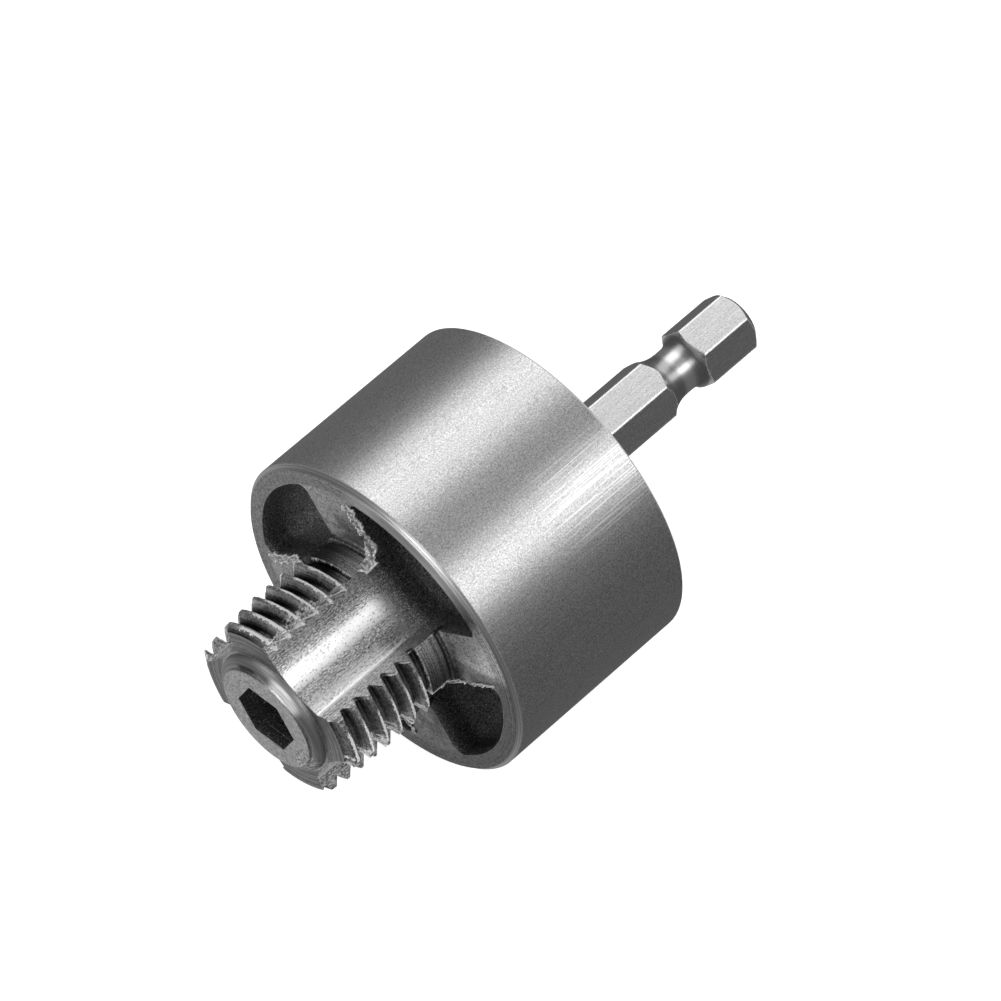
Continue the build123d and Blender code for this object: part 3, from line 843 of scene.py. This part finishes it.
def lands_tree():
    """Four threaded lands with the neck behind them. Each starts as a block of 1 x 1 x 1:
    along the axis, across the land, and from a base inside the steel up to the surface."""
    tree, nodes, given, _ = geometry_tree("threaded lands", (
        ("Rows", "Int"), ("Columns", "Int"), ("Seed", "Float"), ("Proud", "Float"),
        ("Burr", "Float"), ("Lip", "Float"), ("Material", "Material"),
    ))
    block = nodes.add("GeometryNodeMeshCube", Size=(1, 1, 1))
    nodes.put(block.inputs["Vertices X"], given["Rows"])
    nodes.put(block.inputs["Vertices Y"], given["Columns"])
    block.inputs["Vertices Z"].default_value = 5
    spots = nodes.add("GeometryNodeMeshLine", Count=4, Offset=(LAND_SPACING, 0, 0))
    placed = nodes.add("GeometryNodeInstanceOnPoints", Points=spots.outputs[0], Instance=block.outputs[0])
    blocks = nodes.add("GeometryNodeRealizeInstances", Geometry=placed.outputs[0]).outputs[0]

    x, y, z = nodes.parts(nodes.add("GeometryNodeInputPosition").outputs[0])
    land = nodes.math("ROUND", nodes.math("DIVIDE", x, LAND_SPACING))
    block_middle = nodes.math("MULTIPLY", land, LAND_SPACING)
    share_along = nodes.math("ADD", nodes.math("SUBTRACT", x, block_middle), 0.5)
    plain_across = nodes.math("SUBTRACT", 0.5, y)
    # Columns crowd towards the land's two edges
    turned = nodes.math("COSINE", nodes.math("MULTIPLY", plain_across, radians(180)))
    across = nodes.blend(0.5, plain_across, nodes.more(0.5, turned, -0.5))
    down = nodes.math("SUBTRACT", 0.5, z)
    up = nodes.math("SUBTRACT", 1.0, nodes.both(down, down))
    at_top = nodes.step(up, 0.7, 1.0)

    along = nodes.math("MULTIPLY_ADD", share_along, LAND_LENGTH, LAND_START_X)
    first_angle = nodes.math("MULTIPLY", land, radians(90))
    middle_radius = 0.5 * (THREAD_RADIUS + THREAD_ROOT_RADIUS)
    over_land = nodes.blend(across, rake_angle(middle_radius), heel_angle(middle_radius))
    rough_angle = nodes.math("ADD", first_angle, over_land)
    form = thread_form(nodes, along, rough_angle)

    # Torn crests
    around = nodes.math("MULTIPLY", rough_angle, THREAD_RADIUS)
    spot = nodes.joined(along, around, given["Seed"])
    tears = nodes.noise(nodes.scaled(spot, 1 / (0.9 * MM), 1 / (0.32 * MM), 1.0), detail=3.0)
    tears = nodes.step(tears, 0.42, 0.72)
    small = nodes.noise(nodes.scaled(spot, 1 / (0.3 * MM), 1 / (0.3 * MM), 1.0))
    torn_spots = nodes.noise(nodes.scaled(spot, 1 / (2.5 * MM), 1 / (2.5 * MM), 1.0))
    on_thread = nodes.without(form.behind_thread)
    by_crest = nodes.both(nodes.step(form.off_crest, 0.32 * MM, 0.14 * MM), on_thread)
    burr = nodes.both(given["Burr"], by_crest, nodes.more(0.15, tears, 0.85))
    skin = nodes.math("ADD", form.surface, nodes.math("ADD", given["Proud"], burr))
    skin = nodes.more(skin, small, 0.02 * MM)
    # The heel's outline follows the thread: tips reach out at the crests
    tip = nodes.math("MULTIPLY_ADD", form.off_crest, -2 / THREAD_PITCH, 1.0)
    tip = nodes.both(tip, nodes.more(0.7, tears, 0.6))
    tip = nodes.largest(nodes.more(nodes.math("SUBTRACT", tip, 0.15), small, 0.3), 0.0)
    lip_share = nodes.both(nodes.step(across, 0.88, 1.0), at_top, tip, on_thread)
    lip = nodes.both(given["Lip"], lip_share)
    skin = nodes.more(skin, lip, -0.45)
    radius = nodes.blend(up, LAND_BASE_RADIUS, skin)

    # Across the land the two walls stay on the flutes' walls, and stand proud only near the top
    out = nodes.blend(at_top, -0.05 * MM, given["Proud"])
    walls = []
    for offset, lean, sign in ((RAKE_OFFSET, RAKE_FOOT_ANGLE, -1.0), (HEEL_OFFSET, FLUTE_ANGLE, 1.0)):
        bare = nodes.math("SUBTRACT", lean, nodes.math("ARCSINE", nodes.math("DIVIDE", offset, radius)))
        walls.append(nodes.more(bare, nodes.math("DIVIDE", out, radius), sign))
    angle = nodes.math("ADD", first_angle, nodes.blend(across, walls[0], walls[1]))
    angle = nodes.math("ADD", angle, nodes.math("DIVIDE", lip, radius))
    place = nodes.joined(
        along,
        nodes.math("MULTIPLY", radius, nodes.math("COSINE", angle)),
        nodes.math("MULTIPLY", radius, nodes.math("SINE", angle)),
    )
    wear_and_highlight = wear_and_highlight_share(nodes, form, along, land, across, at_top, tears, small, torn_spots)
    marked = stored(nodes, stored(nodes, blocks, "worn_edge", wear_and_highlight), "share_across", across)
    end_tree(nodes, marked, place, given["Material"])
    return tree


def burr_tree():
    """A torn lip along a path: a thin band, lying square to Up, whose width and edges wander."""
    tree, nodes, given, path = geometry_tree("torn lip", (
        ("Width", "Float"), ("Thickness", "Float"), ("Up", "Vector"), ("Seed", "Float"),
        ("Material", "Material"),
    ))
    band = nodes.add("GeometryNodeMeshCube", Size=(1, 1, 1))
    for axis, count in zip("XYZ", (BURR_POINTS, BURR_COLUMNS, 3)):
        band.inputs["Vertices " + axis].default_value = count
    x, y, z = nodes.parts(nodes.add("GeometryNodeInputPosition").outputs[0])
    share = nodes.math("ADD", x, 0.5)
    sample = nodes.add("GeometryNodeSampleCurve", {"mode": "FACTOR", "use_all_curves": True},
                       Curves=path, Factor=share)
    square = nodes.vector_math("CROSS_PRODUCT", given["Up"], sample.outputs["Tangent"])
    sideways = nodes.vector_math("NORMALIZE", square)

    def wander(row):
        spot = nodes.joined(nodes.math("MULTIPLY", share, 12.0), given["Seed"], row)
        return nodes.more(0.25, nodes.step(nodes.noise(spot, detail=3.0), 0.3, 0.7), 0.75)

    ends = nodes.both(nodes.step(share, 0.0, 0.06), nodes.step(share, 1.0, 0.94))
    left = nodes.both(wander(1.0), ends)
    right = nodes.both(wander(7.0), ends)
    reach = nodes.blend(nodes.math("GREATER_THAN", y, 0.0), left, right)
    out = nodes.both(y, reach, given["Width"])
    place = nodes.vector_math(
        "ADD", sample.outputs["Position"], nodes.vector_math("SCALE", sideways, scale=out))
    ripple = nodes.add("ShaderNodeTexNoise", {"noise_dimensions": "4D"}, Vector=place, W=given["Seed"],
                       Scale=1 / MEDIUM_GRAIN, Detail=2.0).outputs[0]
    rise = nodes.math("ADD", z, nodes.more(-0.6, nodes.step(ripple, 0.35, 0.65), 1.6))
    lift = nodes.vector_math("SCALE", given["Up"], scale=nodes.both(rise, given["Thickness"]))
    place = nodes.vector_math("ADD", place, lift)
    # Painted highlights along the lip's rims and on the creases of its ripples
    rim = nodes.step(nodes.math("ABSOLUTE", y), 0.3, 0.42)
    crease = nodes.step(nodes.math("ABSOLUTE", nodes.math("SUBTRACT", ripple, 0.5)), 0.035, 0.01)
    bright = nodes.largest(rim, nodes.both(crease, 0.8))
    end_tree(nodes, stored(nodes, band.outputs[0], "worn_edge", bright), place, given["Material"])
    return tree


def on_tool(along, radius, angle):
    """The point at that distance along and from the axis, and that angle about it."""
    return Vector((along, radius * cos(angle), radius * sin(angle)))


def path_curve(name, points):
    """A smooth path through a few points."""
    data = bpy.data.curves.new(name, "CURVE")
    data.dimensions = "3D"
    spline = data.splines.new("BEZIER")
    spline.bezier_points.add(len(points) - 1)
    for knot, point in zip(spline.bezier_points, points):
        knot.co = point
        knot.handle_left_type = knot.handle_right_type = "AUTO"
    return data


def make_lands(steel):
    grown("threaded_lands", lands_tree(), {
        "Rows": LAND_ROWS, "Columns": LAND_COLUMNS, "Seed": 3.0, "Proud": 0.02 * MM,
        "Burr": 0.08 * MM, "Lip": 0.85 * MM, "Material": steel,
    })


def make_web_burrs(torn):
    """Torn lips left by the cutter along the back edge of each web, down to its neck."""
    tree = burr_tree()
    neck_edge = heel_angle(NECK_RADIUS)
    route = (
        (CUTTING_FACE_X - 0.02 * MM, 15.8 * MM, radians(73)),
        (CUTTING_FACE_X - 0.02 * MM, 13.2 * MM, radians(78.3)),
        (CUTTING_FACE_X - 0.02 * MM, 10.9 * MM, radians(84.5)),
        (CUTTING_FACE_X - 0.9 * MM, NECK_RADIUS + 0.1 * MM, neck_edge),
        (NECK_FRONT_X + 0.9 * MM, NECK_RADIUS, neck_edge),
    )
    for name, turn, width, seed in WEB_BURRS:
        points = [on_tool(along, radius, angle + radians(turn)) for along, radius, angle in route]
        grown(name, tree, {
            "Width": width, "Thickness": 0.16 * MM, "Up": (-1.0, 0.0, 0.0), "Seed": seed, "Material": torn,
        }, path_curve(name + " path", points))


def make_floor():
    bpy.ops.mesh.primitive_plane_add(size=6, location=(0, 0, FLOOR_Z))
    floor = bpy.context.object
    floor.name = "floor"
    made = bpy.data.materials.new("pale floor")
    made.use_nodes = True
    nodes = Nodes(made.node_tree)
    matt = nodes.add("ShaderNodeBsdfDiffuse", Color=(0.8, 0.8, 0.8, 1))
    glow = nodes.add("ShaderNodeEmission", Color=(1, 1, 1, 1), Strength=0.8)
    both = nodes.add("ShaderNodeAddShader")
    nodes.put(both.inputs[0], matt.outputs[0])
    nodes.put(both.inputs[1], glow.outputs[0])
    output = nodes.add("ShaderNodeOutputMaterial")
    nodes.put(output.inputs[0], both.outputs[0])
    floor.data.materials.append(made)
    floor.visible_glossy = False


# Long lamps beside the tool's axis: each one's name, angle about the axis, width and brightness
LIGHT_DISTANCE = 0.6
STRIP_LENGTH = 1.4
STRIP_LEAN = 0.45
STRIPS = (
    ("far strip", radians(57.5), 0.42, 2.57),
    ("top strip", radians(96), 0.3, 0.17),
    ("near strip", radians(133), 0.25, 2.0),
)
FRONT_DIRECTION = (-0.9, 0.0, 0.42)
FRONT_SIZE = 0.26
FRONT_BRIGHTNESS = 0.8


def add_lamp(name, middle, out, size, brightness):
    """An area light at LIGHT_DISTANCE from the tool's middle, facing it, long along the tool."""
    data = bpy.data.lights.new(name, "AREA")
    data.shape = "RECTANGLE"
    data.size, data.size_y = size
    data.energy = brightness
    lamp = bpy.data.objects.new(name, data)
    back = out.normalized()
    sideways = Vector((0, 1, 0)) if abs(back.x) > 0.8 else Vector((1, 0, 0))
    right = (sideways - sideways.dot(back) * back).normalized()
    lamp.matrix_world = Matrix.Translation(middle + LIGHT_DISTANCE * back) @ Matrix(
        (right, back.cross(right), back)
    ).transposed().to_4x4()
    bpy.context.scene.collection.objects.link(lamp)


def make_lights():
    middle = Vector(((BOSS_FACE_X + SHANK_END_X) / 2, 0, 0))
    for name, angle, width, brightness in STRIPS:
        out = Vector((STRIP_LEAN, cos(angle), sin(angle)))
        add_lamp(name, middle, out, (STRIP_LENGTH, width), brightness)
    add_lamp("front lamp", middle, Vector(FRONT_DIRECTION), (FRONT_SIZE, FRONT_SIZE), FRONT_BRIGHTNESS)


WORLD_BASE = 0.145
WORLD_GLOW = 0.6
GLOW_DIRECTION = (-0.45, 0.4, -0.8)


def make_surroundings():
    """Even dim light all round, and a soft glow from ahead of the tap and below."""
    world = bpy.data.worlds.new("studio")
    world.use_nodes = True
    nodes = Nodes(world.node_tree)
    direction = nodes.add("ShaderNodeTexCoord").outputs["Generated"]
    towards = nodes.vector_math("DOT_PRODUCT", direction, Vector(GLOW_DIRECTION).normalized())
    strength = nodes.more(WORLD_BASE, nodes.step(towards, 0.65, 1.0), WORLD_GLOW)
    background = nodes.add("ShaderNodeBackground", Color=(1, 1, 1, 1), Strength=strength)
    output = nodes.add("ShaderNodeOutputWorld")
    nodes.put(output.inputs[0], background.outputs[0])
    bpy.context.scene.world = world
    bpy.context.scene.view_settings.view_transform = "Standard"


def give(node, material):
    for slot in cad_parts[node].material_slots:
        slot.material = material


make_camera()
make_floor()
make_lights()
make_surroundings()
give("cutter_body", metal("drum and tap steel", body_finish, 0.1 * MM))
give("hex_shank", metal("ground shank steel", shank_finish, 0.22 * MM))
make_lands(metal("cut thread steel", land_finish))
make_web_burrs(metal("torn steel", torn_finish))
